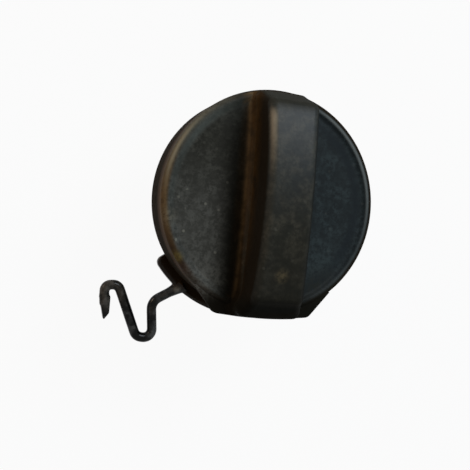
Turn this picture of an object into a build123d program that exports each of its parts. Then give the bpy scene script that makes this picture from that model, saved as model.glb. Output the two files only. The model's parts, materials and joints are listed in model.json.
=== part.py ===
from build123d import *
from math import cos, hypot, radians, sin
import os

# Fuel filler cap with a click-type cover, a valve insert and a moulded tether.
# Millimetres. The origin is the centre of the main seal's lower face, which seats on
# the filler neck, and +Z points out of the tank towards the grip.

# ---------------------------------------------------------------- driving dimensions
# cover
cover_diameter = 80.0
cover_wall = 2.4
skirt_depth = 18.5  # from the top of the disc to the skirt's edge
skirt_draft = 0.6  # how far the skirt's edge is drawn in
lip_rise = 0.9
skirt_edge_radius = 0.6
lip_width = 4.6
shoulder_radius = 2.2
cover_rib_count = 12
cover_rib_depth = 2.9
cover_rib_thickness = 1.4
groove_depth = 0.5  # of the retainer's groove inside the skirt
groove_lip = 1.0  # skirt left below that groove
retainer_thickness = 2.0
retainer_split = 6.0

# grip bar
grip_height = 19.4  # above the disc, at the middle
grip_end_height = 15.6  # above the disc, where the top meets the end slopes
grip_top_length = 68.0
grip_waist_width = 17.4
grip_ridge_width = 19.2  # at the ends of the top
grip_wall = 2.4
grip_edge_radius = 2.9
grip_cove_radius = 3.0
grip_bend_radius = 12.0  # where the sides turn outwards to the ends
cove_trim = 0.6  # how far inside the rim the cove ends
# the grip's toe is its wide end, towards the tether, and its heel is the plain one
toe_width = 28.2
toe_overhang = 0.9  # how far the toe stands past the rim
toe_bulge = 1.0  # rise of its curved end face
toe_foot_height = 6.5  # height of the upright part of that face
heel_width = 21.0
heel_inset = 0.8  # how far the heel stays inside the rim
heel_bulge = 0.6
heel_foot_height = 1.5
chin_overhang = 1.3  # ledge under the toe, past the rim
chin_margin = 3.8  # ledge left beside the toe
chin_half_angle = 40.0  # where its sides meet the rim, from the toe's middle
chin_corner_radius = 3.0
chin_edge_height = 1.6
chin_depth = 5.0
chin_taper = 30.0
hollow_inset = 0.6  # from the skirt's inside to the ends of the grip's hollow
grip_rib_count = 5
grip_rib_thickness = 1.4
rib_bedding = 0.4  # how far the grip's ribs run into its walls

# neck and flanges
neck_wall = 2.6
neck_length = 17.0  # from the seal's face down
nose_step = 3.2  # how far the nose is drawn in from the neck
nose_length = 9.0
nose_chamfer = 0.8
thread_height = 1.7
thread_pitch = 4.6
thread_turns = 2.25
thread_top = 4.2  # from the seal's face down to the thread's upper end
thread_root_width = 2.6
thread_crest_width = 1.1
thread_sink = 0.25  # how far the thread's root is bedded in the neck
core_webs = 12
core_wall = 2.4
seat_flange_margin = 0.8  # seat flange left outside the seal
seat_flange_thickness = 2.2
collar_width = 5.3  # from the neck out to the journal of the tether's ring
cover_flange_room = 3.0  # between the cover's flange and the skirt
cover_flange_thickness = 2.2

# seal and slip washer
seal_thickness = 3.0
seal_width = 7.4
seal_chamfer = 0.6
washer_thickness = 0.6
washer_margin = 0.3  # seat flange left outside the slip washer

# tether
tether_thickness = 2.6
tether_ring_width = 6.0
lug_overhang = 3.2  # how far the lug stands past the cover
lug_start_angle = 214.0
lug_end_angle = 261.0
lug_corner_radius = 2.5
rod_diameter = 3.6
rod_root_diameter = 5.2
rod_root_length = 6.0
rod_root_taper = 8.0
rod_angle = 233.4  # where the rod leaves the lug
rod_set_in = 2.2  # how far its start lies inside the lug's edge
hook_thickness = 2.6

# ratchet
ratchet_teeth = 24
tooth_depth = 1.8
cup_wall = 2.3  # behind the teeth's roots
cup_headroom = 0.7  # from the drive ring up to the cup's rim
pawl_count = 4
pawl_thickness = 1.5
pawl_span = 52.0
pawl_room = 2.9  # between the hub and the pawls' arms
drive_hub_width = 7.0
post_width = 5.0
post_thickness = 3.0
post_foot_gap = 0.6  # between the posts' ends and the drive ring's lower face
hub_wall = 1.7

# valve insert
cage_tube_wall = 1.7
cage_flange_width = 2.8  # past the neck's bore
cage_flange_thickness = 1.8
cage_floor_thickness = 2.0
cup_sink = 7.8  # from the cage flange's top down to the spring cup
seat_land = 1.2  # between the seat's hole and its bead
seat_bead_height = 0.6
o_ring_section = 1.8
gland_depth = 2.1
gland_length = 5.0
snap_depth = 0.5

# valves, from the poppet's stem outwards
gasket_thickness = 1.6
gasket_lap = 0.8  # gasket left inside the poppet's bead
gasket_margin = 2.6  # gasket left outside the seat's bead
plate_thickness = 1.2
plate_rim_height = 3.0
plate_wall = 1.2
guide_fin_length = 2.2
pressure_wire = 1.2
pressure_coils = 4
wire_sides = 6  # the wire's round section is drawn as a polygon
pressure_spring_length = 14.0
spring_cup_thickness = 1.6
cup_rim_height = 2.4
cup_rim_wall = 1.7
cup_vents = 6
cup_vent_radius = 2.4
cup_vent_circle = 8.5
guide_fins = 4
breather_holes = 4
breather_radius = 0.6
breather_circle = 3.6
poppet_radius = 6.8
poppet_gap = 1.4  # between the poppet and the seat's hole
poppet_thickness = 1.6
stem_radius = 1.5
vacuum_spring_radius = 2.7
vacuum_wire = 0.5
vacuum_coils = 4
vacuum_spring_length = 6.0
keeper_radius = 3.8
keeper_thickness = 1.0
keeper_grip = 0.2  # how much narrower its slot is than the stem's neck
poppet_bead_height = 1.4
poppet_bead_width = 1.2
poppet_bead_inset = 0.4
stem_neck_radius = 1.0
stem_head = 0.9
baffle_thickness = 1.6
baffle_holes = 6
baffle_hole_radius = 3.4
baffle_hole_circle = 10.5
baffle_ledge = 0.9  # width of the step that the baffle is pressed up to
baffle_recess = 1.6  # how far the baffle sits inside the nose's end

# clearances
fit_gap = 0.05  # pieces pressed or seated in one body
running_gap = 0.3  # pieces that turn or slide past each other
journal_gap = 0.5  # the tether's ring round its collar
skirt_gap = 0.4  # between the tether and the skirt's edge
spring_gap = 0.6  # between the gasket's edge and the pressure spring
drive_gap = 1.2  # between the cage's flange and the teeth's tips
seal_gap = 0.6  # between the neck and the seal's bore

# ---------------------------------------------------------------- derived radii
# the valves set the cage's bore, and so the neck, its flanges and the ratchet
gasket_inner_radius = poppet_radius - poppet_bead_inset - poppet_bead_width - gasket_lap
seat_hole_radius = poppet_radius + poppet_gap
seat_bead_radius = seat_hole_radius + seat_land
gasket_outer_radius = seat_bead_radius + gasket_margin
pressure_spring_radius = gasket_outer_radius + spring_gap + pressure_wire / 2
plate_rim_radius = pressure_spring_radius + pressure_wire / 2 + running_gap + plate_wall
cage_bore = plate_rim_radius + guide_fin_length + running_gap
cage_tube_radius = cage_bore + cage_tube_wall
neck_bore = cage_tube_radius + gland_depth
neck_radius = neck_bore + neck_wall
nose_radius = neck_radius - nose_step
nose_bore = nose_radius - neck_wall
baffle_seat_radius = nose_bore - baffle_ledge
seal_inner_radius = neck_radius + seal_gap
seat_flange_radius = seal_inner_radius + seal_width + seat_flange_margin
collar_radius = neck_radius + collar_width
journal_radius = collar_radius + journal_gap

cage_flange_radius = neck_bore + cage_flange_width
tooth_tip_radius = cage_flange_radius + drive_gap
tooth_root_radius = tooth_tip_radius + tooth_depth
cup_outer_radius = tooth_root_radius + cup_wall
pawl_arm_radius = tooth_tip_radius - running_gap - pawl_thickness / 2 - tooth_depth / 2
drive_hub_radius = pawl_arm_radius - pawl_thickness / 2 - pawl_room
drive_hub_bore = drive_hub_radius - drive_hub_width
post_radius = (drive_hub_radius + drive_hub_bore) / 2
hub_wall_radius = pawl_arm_radius + pawl_thickness / 2

cover_radius = cover_diameter / 2
skirt_inner_radius = cover_radius - skirt_draft - cover_wall
hollow_reach = skirt_inner_radius - hollow_inset
toe_reach = cover_radius + toe_overhang
heel_reach = cover_radius - heel_inset
# how fast the grip widens from its top's ends to its own
toe_flare = (toe_width - grip_ridge_width) / (2 * (toe_reach - toe_bulge) - grip_top_length)
heel_flare = (heel_width - grip_ridge_width) / (2 * (heel_reach - heel_bulge) - grip_top_length)
cover_flange_radius = skirt_inner_radius - cover_flange_room
lug_radius = cover_radius + lug_overhang

# ---------------------------------------------------------------- derived heights
washer_top = seal_thickness + washer_thickness
seat_flange_top = washer_top + seat_flange_thickness
tether_bottom = seat_flange_top + running_gap
tether_top = tether_bottom + tether_thickness
skirt_edge = tether_top + skirt_gap
disc_height = skirt_edge + skirt_depth
disc_underside = disc_height - cover_wall
shoulder_height = disc_height + lip_rise - shoulder_radius
retainer_bottom = skirt_edge + groove_lip
retainer_top = retainer_bottom + retainer_thickness
cover_flange_bottom = retainer_top + running_gap
cup_floor = cover_flange_bottom + cover_flange_thickness
cup_rim = disc_underside - cover_rib_depth - running_gap
neck_end = -neck_length
nose_end = neck_end - nose_length
baffle_top = nose_end + baffle_recess + baffle_thickness

cage_flange_top = cup_floor + cage_flange_thickness
spring_cup_bottom = cage_flange_top - cup_sink
plate_top = spring_cup_bottom - pressure_spring_length
plate_bottom = plate_top - plate_thickness
gasket_bottom = plate_bottom - gasket_thickness
cage_floor_top = gasket_bottom - seat_bead_height
cage_bottom = cage_floor_top - cage_floor_thickness
keeper_bottom = plate_top + vacuum_spring_length
pawl_ring_bottom = cage_flange_top + running_gap
pawl_ring_top = cup_rim - cup_headroom

os.makedirs("parts", exist_ok=True)


def save(builder, name):
    """Label a finished piece and write it under its node's name."""
    builder.part.label = name
    export_step(builder.part, f"parts/{name}.step")


def polar(radius, angle):
    """Point at a radius and an angle in degrees."""
    return (radius * cos(radians(angle)), radius * sin(radians(angle)))


# ---------------------------------------------------------------- grip cover
def grip_bar(wall, toe_end, heel_end):
    """The bar grip from the disc's underside up, drawn in by a wall to give its hollow."""
    waist = grip_waist_width / 2 - wall
    side = grip_ridge_width / 2 - wall
    ridge = grip_top_length / 2 - wall / 2
    low = disc_underside
    toe_foot = disc_height + toe_foot_height - wall / 2
    heel_foot = disc_height + heel_foot_height - wall / 2
    shoulder = disc_height + grip_end_height - wall
    crown = disc_height + grip_height - wall
    toe_corner = toe_bulge - toe_end
    heel_corner = heel_end - heel_bulge
    toe = side + toe_flare * (-toe_corner - ridge)
    heel = side + heel_flare * (heel_corner - ridge)
    with BuildPart() as bar:
        with BuildSketch(Plane.XY.offset(low)) as plan:
            with BuildLine():
                ThreePointArc((-side, -ridge), (-waist, 0), (-side, ridge))
                Line((-side, ridge), (-heel, heel_corner))
                ThreePointArc((-heel, heel_corner), (0, heel_end), (heel, heel_corner))
                Line((heel, heel_corner), (side, ridge))
                ThreePointArc((side, ridge), (waist, 0), (side, -ridge))
                Line((side, -ridge), (toe, toe_corner))
                ThreePointArc((toe, toe_corner), (0, -toe_end), (-toe, toe_corner))
                Line((-toe, toe_corner), (-side, -ridge))
            make_face()
            bends = plan.vertices().filter_by(lambda v: abs(abs(v.Y) - ridge) < 0.01)
            fillet(bends, grip_bend_radius - wall)
        extrude(amount=crown - low)
        with BuildSketch(Plane.YZ):
            with BuildLine():
                Polyline((-ridge, shoulder), (-toe_end, toe_foot), (-toe_end, low), (heel_end, low),
                         (heel_end, heel_foot), (ridge, shoulder))
                ThreePointArc((ridge, shoulder), (0, crown), (-ridge, shoulder))
            make_face()
        extrude(amount=toe_width, both=True, mode=Mode.INTERSECT)
    return bar


def chin_outline():
    """The ledge under the toe, seen from above, out to where its sides meet the rim."""
    side = toe_width / 2 + chin_margin
    corner = toe_bulge - cover_radius - chin_overhang
    with BuildSketch() as outline:
        with BuildLine():
            ThreePointArc((side, corner), (0, -cover_radius - chin_overhang), (-side, corner))
            Polyline((-side, corner), polar(cover_radius, -90 - chin_half_angle),
                     polar(cover_radius, -90 + chin_half_angle), (side, corner))
        make_face()
        fillet(outline.vertices().group_by(Axis.Y)[0], chin_corner_radius)
    return outline.sketch


with BuildPart() as plain_grip:
    add(grip_bar(0, toe_reach, heel_reach).part)
    # all edges above the disc, and of the upright ones the four corners
    upright = plain_grip.edges().filter_by(Axis.Z)
    corners = upright.sort_by(lambda e: abs(e.center().Y))[-4:]
    upper_edges = plain_grip.edges().filter_by(lambda e: e.center().Z > disc_height) - upright
    fillet(upper_edges + corners, grip_edge_radius)

with BuildPart() as grip:
    # a wide plate gives the cove round the grip's foot something to run out on
    add(plain_grip.part)
    with BuildSketch(Plane.XY.offset(disc_underside)):
        Circle(2 * cover_radius)
    extrude(amount=cover_wall)
    foot_edges = grip.edges().filter_by(
        lambda e: abs(e.center().Z - disc_height) < 0.01 and e.length < 3 * cover_radius
    )
    fillet(foot_edges, grip_cove_radius)
    # the plate and the cove are trimmed to the rim and to the ledge under the toe
    with BuildSketch(Plane.XY.offset(disc_underside)):
        Circle(3 * cover_radius)
        Circle(cover_radius - cove_trim, mode=Mode.SUBTRACT)
        add(chin_outline(), mode=Mode.SUBTRACT)
    extrude(amount=cover_wall + grip_cove_radius, mode=Mode.SUBTRACT)
    add(plain_grip.part)

with BuildPart() as chin:
    with BuildSketch(Plane.XY.offset(disc_height)):
        add(chin_outline())
    extrude(amount=-chin_edge_height)
    with BuildSketch(Plane.XY.offset(disc_height - chin_edge_height)):
        add(chin_outline())
    extrude(amount=-chin_depth, taper=chin_taper)
    with BuildSketch(Plane.XY.offset(disc_height)):
        Circle(cover_radius - skirt_draft - cover_wall / 2)
    extrude(amount=-chin_edge_height - chin_depth, mode=Mode.SUBTRACT)

with BuildPart() as grip_ribs:
    add(grip_bar(grip_wall - rib_bedding, hollow_reach + rib_bedding, hollow_reach + rib_bedding).part)
    with BuildSketch(Plane.XY.offset(disc_underside)):
        with GridLocations(0, grip_top_length / grip_rib_count, 1, grip_rib_count):
            Rectangle(toe_width, grip_rib_thickness)
    extrude(amount=grip_height, mode=Mode.INTERSECT)

with BuildPart() as grip_cover:
    # disc and skirt as one turned shell
    with BuildSketch(Plane.XZ):
        with BuildLine():
            Polyline(
                (0, disc_underside),
                (0, disc_height),
                (cover_radius - lip_width, disc_height),
                (cover_radius, shoulder_height),
                (cover_radius - skirt_draft, skirt_edge),
                (skirt_inner_radius, skirt_edge),
                (skirt_inner_radius, disc_underside),
                close=True,
            )
        make_face()
    revolve(axis=Axis.Z)
    # raised lip and rounded shoulder
    with BuildSketch(Plane.XZ):
        with BuildLine():
            crest = (cover_radius - shoulder_radius, disc_height + lip_rise)
            foot = (cover_radius - lip_width, disc_height)
            Spline(foot, crest, tangents=[(1, 0), (1, 0)])
            TangentArc(crest, (cover_radius, shoulder_height), tangent=(1, 0))
            Polyline(foot, (foot[0], disc_underside), (cover_radius - 0.1, disc_underside),
                     (cover_radius, shoulder_height))
        make_face()
    revolve(axis=Axis.Z)
    add(grip.part)
    add(chin.part)
    # hollow of the grip, crossed by ribs
    add(grip_bar(grip_wall, hollow_reach, hollow_reach).part, mode=Mode.SUBTRACT)
    add(grip_ribs.part)
    # radial ribs under the disc
    with BuildSketch(Plane.XY.offset(cup_rim + running_gap)):
        rib_middle = (hub_wall_radius + skirt_inner_radius) / 2
        with PolarLocations(rib_middle, cover_rib_count, 180 / cover_rib_count):
            Rectangle(skirt_inner_radius - hub_wall_radius + cover_wall / 4, cover_rib_thickness)
    extrude(amount=disc_underside - cup_rim - running_gap)
    # wall that keeps the drive ring down, and the posts that turn it
    with BuildSketch(Plane.XY.offset(pawl_ring_top + running_gap)):
        Circle(hub_wall_radius)
        Circle(hub_wall_radius - hub_wall, mode=Mode.SUBTRACT)
    extrude(amount=disc_underside - pawl_ring_top - running_gap)
    with BuildSketch(Plane.XY.offset(pawl_ring_bottom + post_foot_gap)):
        with PolarLocations(post_radius, pawl_count, 45):
            Rectangle(post_thickness, post_width)
    extrude(amount=disc_underside - pawl_ring_bottom - post_foot_gap)
    # groove for the retainer inside the skirt's edge
    with BuildSketch(Plane.XY.offset(retainer_bottom)):
        Circle(skirt_inner_radius + groove_depth)
        Circle(skirt_inner_radius - 1, mode=Mode.SUBTRACT)
    extrude(amount=retainer_thickness, mode=Mode.SUBTRACT)
    fillet(grip_cover.edges().group_by(Axis.Z)[0], skirt_edge_radius)
save(grip_cover, "grip_cover")

# ---------------------------------------------------------------- cover retainer
with BuildPart() as cover_retainer:
    with BuildSketch(Plane.XY.offset(retainer_bottom + fit_gap)):
        Circle(skirt_inner_radius + groove_depth - fit_gap)
        Circle(journal_radius, mode=Mode.SUBTRACT)
        with Locations((0, skirt_inner_radius)):
            Rectangle(retainer_split, skirt_inner_radius, mode=Mode.SUBTRACT)
    extrude(amount=retainer_thickness - 2 * fit_gap)
save(cover_retainer, "cover_retainer")

# ---------------------------------------------------------------- drive ring
tooth_angle = 360 / ratchet_teeth
ramp_angle = 0.87 * tooth_angle
pawl_start_angle = 0.47 * tooth_angle
pawl_end_angle = 0.955 * tooth_angle


def ramp_radius(angle):
    """Radius of a tooth's straight ramp, which leads from the tip to the root over the ramp's angle."""
    tip_share = tooth_tip_radius * sin(radians(angle))
    root_share = tooth_root_radius * sin(radians(ramp_angle - angle))
    return tooth_tip_radius * tooth_root_radius * sin(radians(ramp_angle)) / (tip_share + root_share)


with BuildPart() as drive_ring:
    with BuildSketch(Plane.XY.offset(pawl_ring_bottom)):
        Circle(drive_hub_radius)
        Circle(drive_hub_bore, mode=Mode.SUBTRACT)
        with PolarLocations(post_radius, pawl_count, 45):
            Rectangle(post_thickness + 2 * running_gap, post_width + 2 * running_gap, mode=Mode.SUBTRACT)
    extrude(amount=pawl_ring_top - pawl_ring_bottom)
    # one pawl: spoke, curved arm and wedge tip
    with BuildSketch(Plane.XY.offset(pawl_ring_bottom)) as pawl:
        inner = pawl_arm_radius - pawl_thickness / 2
        outer = pawl_arm_radius + pawl_thickness / 2
        root = pawl_end_angle - pawl_span
        with BuildLine():
            middle = (root + pawl_end_angle) / 2
            ThreePointArc(polar(inner, root), polar(inner, middle), polar(inner, pawl_end_angle))
            Polyline(
                polar(inner, pawl_end_angle),
                polar(ramp_radius(ramp_angle) - running_gap, pawl_end_angle),
                polar(ramp_radius(ramp_angle) - running_gap, ramp_angle),
                polar(ramp_radius(pawl_start_angle) - running_gap, pawl_start_angle),
                polar(outer, pawl_start_angle),
            )
            middle = (root + pawl_start_angle) / 2
            ThreePointArc(polar(outer, pawl_start_angle), polar(outer, middle), polar(outer, root))
            Line(polar(outer, root), polar(inner, root))
        make_face()
        with BuildLine():
            Polyline(
                polar(drive_hub_radius - 0.5, root),
                polar(outer, root),
                polar(outer, root + 8),
                polar(drive_hub_radius - 0.5, root + 8),
                close=True,
            )
        make_face()
    with PolarLocations(0, pawl_count):
        add(pawl.sketch)
    extrude(amount=pawl_ring_top - pawl_ring_bottom)
save(drive_ring, "drive_ring")

# ---------------------------------------------------------------- closure body
thread_bottom = -thread_top - thread_turns * thread_pitch

with BuildPart() as neck_thread:
    with BuildLine() as thread_path:
        Helix(thread_pitch, thread_turns * thread_pitch, neck_radius, center=(0, 0, thread_bottom))
    with BuildSketch(Plane(origin=thread_path.line @ 0, x_dir=(1, 0, 0), z_dir=thread_path.line % 0)):
        with BuildLine():
            Polyline(
                (-thread_sink, -thread_root_width / 2),
                (thread_height, -thread_crest_width / 2),
                (thread_height, thread_crest_width / 2),
                (-thread_sink, thread_root_width / 2),
                close=True,
            )
        make_face()
    sweep(path=thread_path.line, is_frenet=True)

with BuildPart() as closure_body:
    # neck, flanges, collar and ratchet cup as one turned moulding
    with BuildSketch(Plane.XZ):
        with BuildLine():
            Polyline(
                (nose_bore, nose_end),
                (nose_radius - nose_chamfer, nose_end),
                (nose_radius, nose_end + nose_chamfer),
                (nose_radius, neck_end),
                (neck_radius - nose_chamfer, neck_end),
                (neck_radius, neck_end + nose_chamfer),
                (neck_radius, washer_top),
                (seat_flange_radius, washer_top),
                (seat_flange_radius, seat_flange_top),
                (collar_radius, seat_flange_top),
                (collar_radius, cover_flange_bottom),
                (cover_flange_radius, cover_flange_bottom),
                (cover_flange_radius, cup_floor),
                (cup_outer_radius, cup_floor),
                (cup_outer_radius, cup_rim),
                (tooth_tip_radius, cup_rim),
                (tooth_tip_radius, cup_floor),
                (neck_bore, cup_floor),
                (neck_bore, neck_end + neck_wall),
                (baffle_seat_radius, neck_end + neck_wall),
                (baffle_seat_radius, baffle_top),
                (nose_bore, baffle_top),
                close=True,
            )
        make_face()
    revolve(axis=Axis.Z)
    add(neck_thread.part)
    # sawtooth ratchet, cut upwards from the cup's floor
    with BuildSketch(Plane.XY.offset(cup_floor)):
        with BuildLine():
            outline = []
            for tooth in range(ratchet_teeth):
                start = tooth * tooth_angle
                outline += [polar(tooth_tip_radius, start), polar(tooth_root_radius, start + ramp_angle),
                            polar(tooth_root_radius, start + tooth_angle)]
            Polyline(*outline, close=True)
        make_face()
    extrude(amount=cup_rim - cup_floor, mode=Mode.SUBTRACT)
    # coring pockets between the neck and the collar
    with BuildSketch(Plane.XY.offset(seat_flange_top)):
        Circle(collar_radius - core_wall)
        Circle(cage_flange_radius + fit_gap, mode=Mode.SUBTRACT)
        with PolarLocations(neck_radius, core_webs):
            Rectangle(2 * seat_flange_radius - 2 * neck_radius, core_wall, mode=Mode.SUBTRACT)
    extrude(amount=cup_floor - seat_flange_top, mode=Mode.SUBTRACT)
save(closure_body, "closure_body")

# ---------------------------------------------------------------- seal and slip washer
with BuildPart() as main_seal:
    with BuildSketch():
        Circle(seal_inner_radius + seal_width)
        Circle(seal_inner_radius, mode=Mode.SUBTRACT)
    extrude(amount=seal_thickness)
    chamfer(main_seal.edges().group_by(Axis.Z)[0], seal_chamfer)
save(main_seal, "main_seal")

with BuildPart() as slip_washer:
    with BuildSketch(Plane.XY.offset(seal_thickness)):
        Circle(seat_flange_radius - washer_margin)
        Circle(seal_inner_radius, mode=Mode.SUBTRACT)
    extrude(amount=washer_thickness)
save(slip_washer, "slip_washer")

# ---------------------------------------------------------------- tether
tether_middle = (tether_bottom + tether_top) / 2
rod_start = Vector(*polar(lug_radius - rod_set_in, rod_angle), tether_middle)
# the rod's route in plan, from its start inside the lug to the hook's bend
rod_route = [(0, 0), (-11.3, -6.6), (-9.9, -20.1), (-16.0, -19.6), (-23.9, -1.1), (-28.9, -1.5),
             (-28.4, -8.6)]
rod_bends = [4.5, 2.9, 3.0, 2.6, 2.2]
# the hook's flattened end in plan, from the same start, narrowing to a slanted tip
hook_outline = [(-30.6, -5.3), (-28.4, -14.1), (-26.5, -11.5), (-26.5, -5.3)]

with BuildPart() as tether:
    with BuildSketch(Plane.XY.offset(tether_bottom)):
        Circle(journal_radius + tether_ring_width)
        lug_start = polar(lug_radius, lug_start_angle)
        lug_middle = polar(lug_radius, (lug_start_angle + lug_end_angle) / 2)
        lug_end = polar(lug_radius, lug_end_angle)
        with BuildLine():
            Polyline(lug_end, (0, 0), lug_start)
            ThreePointArc(lug_start, lug_middle, lug_end)
        make_face()
        Circle(journal_radius, mode=Mode.SUBTRACT)
    extrude(amount=tether_thickness)
    corners = tether.edges().filter_by(Axis.Z)
    fillet(corners.filter_by(lambda e: hypot(e.center().X, e.center().Y) > cover_radius), lug_corner_radius)
    # rod
    with BuildLine() as rod_path:
        FilletPolyline(*[rod_start + Vector(x, y) for x, y in rod_route], radius=rod_bends)
    with BuildSketch(Plane(origin=rod_path.line @ 0, z_dir=rod_path.line % 0)):
        Circle(rod_diameter / 2)
    sweep(path=rod_path.line)
    # thick root that tapers into the rod
    with BuildSketch(Plane(origin=rod_path.line @ 0, z_dir=rod_path.line % 0)):
        Circle(rod_root_diameter / 2)
    extrude(amount=rod_root_length, taper=rod_root_taper)
    # flattened hook end
    with BuildSketch(Plane(origin=rod_start - Vector(0, 0, hook_thickness / 2))):
        with BuildLine():
            Polyline(*hook_outline, close=True)
        make_face()
    extrude(amount=hook_thickness)
save(tether, "tether")

# ---------------------------------------------------------------- valve cage
gland_middle = (cage_floor_top + cup_floor) / 2
gland_edge = gland_middle + o_ring_section / 2 + fit_gap
land_radius = neck_bore - fit_gap

with BuildPart() as valve_cage:
    with BuildSketch(Plane.XZ):
        with BuildLine():
            Polyline(
                (seat_hole_radius, cage_bottom),
                (cage_tube_radius, cage_bottom),
                (cage_tube_radius, gland_middle - gland_length / 2),
                (land_radius, gland_middle - gland_length / 2),
                (land_radius, 2 * gland_middle - gland_edge),
                (cage_tube_radius, 2 * gland_middle - gland_edge),
                (cage_tube_radius, gland_edge),
                (land_radius, gland_edge),
                (land_radius, gland_middle + gland_length / 2),
                (cage_tube_radius, gland_middle + gland_length / 2),
                (cage_tube_radius, cup_floor),
                (cage_flange_radius, cup_floor),
                (cage_flange_radius, cage_flange_top),
                (cage_bore, cage_flange_top),
                (cage_bore, cage_floor_top),
                (seat_bead_radius + seat_bead_height, cage_floor_top),
                (seat_bead_radius, gasket_bottom),
                (seat_hole_radius, gasket_bottom),
                close=True,
            )
        make_face()
    revolve(axis=Axis.Z)
    # groove that the spring cup snaps into
    with BuildSketch(Plane.XY.offset(spring_cup_bottom)):
        Circle(cage_bore + snap_depth)
    extrude(amount=spring_cup_thickness, mode=Mode.SUBTRACT)
save(valve_cage, "valve_cage")

with BuildPart() as cage_o_ring:
    with BuildSketch(Plane.XZ):
        with Locations(((cage_tube_radius + neck_bore) / 2, gland_middle)):
            Circle(o_ring_section / 2)
    revolve(axis=Axis.Z)
save(cage_o_ring, "cage_o_ring")

# ---------------------------------------------------------------- pressure valve
with BuildPart() as pressure_gasket:
    with BuildSketch(Plane.XY.offset(gasket_bottom)):
        Circle(gasket_outer_radius)
        Circle(gasket_inner_radius, mode=Mode.SUBTRACT)
    extrude(amount=gasket_thickness)
save(pressure_gasket, "pressure_gasket")

with BuildPart() as pressure_plate:
    with BuildSketch(Plane.XY.offset(plate_bottom)):
        Circle(plate_rim_radius)
        with PolarLocations(0, guide_fins):
            with Locations((plate_rim_radius, 0)):
                Rectangle(2 * (cage_bore - running_gap - plate_rim_radius), plate_wall)
    extrude(amount=plate_thickness + plate_rim_height)
    with BuildSketch(Plane.XY.offset(plate_top)):
        Circle(plate_rim_radius - plate_wall)
    extrude(amount=plate_rim_height, mode=Mode.SUBTRACT)
    with BuildSketch(Plane.XY.offset(plate_bottom)):
        Circle(stem_radius + running_gap)
        with PolarLocations(breather_circle, breather_holes):
            Circle(breather_radius)
    extrude(amount=plate_thickness, mode=Mode.SUBTRACT)
save(pressure_plate, "pressure_plate")


def coil_spring(mean_radius, wire, coils, bottom, length):
    """A cylindrical coil spring with its ends ground flat."""
    pitch = (length - wire) / coils
    turns = coils + 1
    with BuildPart() as spring:
        with BuildLine() as helix:
            Helix(pitch, turns * pitch, mean_radius, center=(0, 0, bottom + length / 2 - turns * pitch / 2))
        with BuildSketch(Plane(origin=helix.line @ 0, z_dir=helix.line % 0)):
            RegularPolygon(wire / 2, wire_sides)
        sweep(path=helix.line, is_frenet=True)
        with BuildSketch(Plane.XY.offset(bottom)):
            Circle(mean_radius + wire)
        extrude(amount=length, mode=Mode.INTERSECT)
    return spring


pressure_spring = coil_spring(
    pressure_spring_radius, pressure_wire, pressure_coils, plate_top, pressure_spring_length
)
save(pressure_spring, "pressure_spring")

with BuildPart() as spring_cup:
    with BuildSketch(Plane.XY.offset(spring_cup_bottom + fit_gap)):
        Circle(cage_bore + snap_depth - fit_gap)
        Circle(cup_vent_radius, mode=Mode.SUBTRACT)
        with PolarLocations(cup_vent_circle, cup_vents):
            Circle(cup_vent_radius, mode=Mode.SUBTRACT)
    extrude(amount=spring_cup_thickness - 2 * fit_gap)
    # raised rim that stiffens the cup, inside the cage's bore
    with BuildSketch(Plane.XY.offset(spring_cup_bottom + spring_cup_thickness - fit_gap)):
        Circle(cage_bore - fit_gap)
        Circle(cage_bore - cup_rim_wall, mode=Mode.SUBTRACT)
    extrude(amount=cup_rim_height)
save(spring_cup, "spring_cup")

# ---------------------------------------------------------------- vacuum valve
head_bottom = gasket_bottom - poppet_bead_height - poppet_thickness
bead_edge = poppet_radius - poppet_bead_inset
stem_top = keeper_bottom + keeper_thickness + stem_head

with BuildPart() as vacuum_poppet:
    with BuildSketch(Plane.XZ):
        with BuildLine():
            Polyline(
                (0, head_bottom),
                (poppet_radius, head_bottom),
                (poppet_radius, gasket_bottom - poppet_bead_height),
                (bead_edge, gasket_bottom),
                (bead_edge - poppet_bead_width + poppet_bead_inset, gasket_bottom),
                (bead_edge - poppet_bead_width, gasket_bottom - poppet_bead_height),
                (stem_radius, gasket_bottom - poppet_bead_height),
                (stem_radius, keeper_bottom),
                (stem_neck_radius, keeper_bottom),
                (stem_neck_radius, keeper_bottom + keeper_thickness),
                (stem_radius, keeper_bottom + keeper_thickness),
                (stem_neck_radius, stem_top),
                (0, stem_top),
                close=True,
            )
        make_face()
    revolve(axis=Axis.Z)
save(vacuum_poppet, "vacuum_poppet")

vacuum_spring = coil_spring(vacuum_spring_radius, vacuum_wire, vacuum_coils, plate_top, vacuum_spring_length)
save(vacuum_spring, "vacuum_spring")

with BuildPart() as vacuum_keeper:
    with BuildSketch(Plane.XY.offset(keeper_bottom + fit_gap)):
        Circle(keeper_radius)
        Circle(stem_neck_radius + fit_gap, mode=Mode.SUBTRACT)
        with Locations((keeper_radius / 2, 0)):
            Rectangle(keeper_radius, 2 * stem_neck_radius - keeper_grip, mode=Mode.SUBTRACT)
    extrude(amount=keeper_thickness - 2 * fit_gap)
save(vacuum_keeper, "vacuum_keeper")

# ---------------------------------------------------------------- splash baffle
with BuildPart() as splash_baffle:
    with BuildSketch(Plane.XY.offset(baffle_top - baffle_thickness)):
        Circle(nose_bore - fit_gap)
        with PolarLocations(baffle_hole_circle, baffle_holes):
            Circle(baffle_hole_radius, mode=Mode.SUBTRACT)
    extrude(amount=baffle_thickness)
save(splash_baffle, "splash_baffle")
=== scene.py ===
"""Looks of the fuel filler cap: finishes, wound springs, the tether's moulding, camera and studio.

Laid out as a Blender add-on and run as a script. Lengths are in metres.
"""

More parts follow.
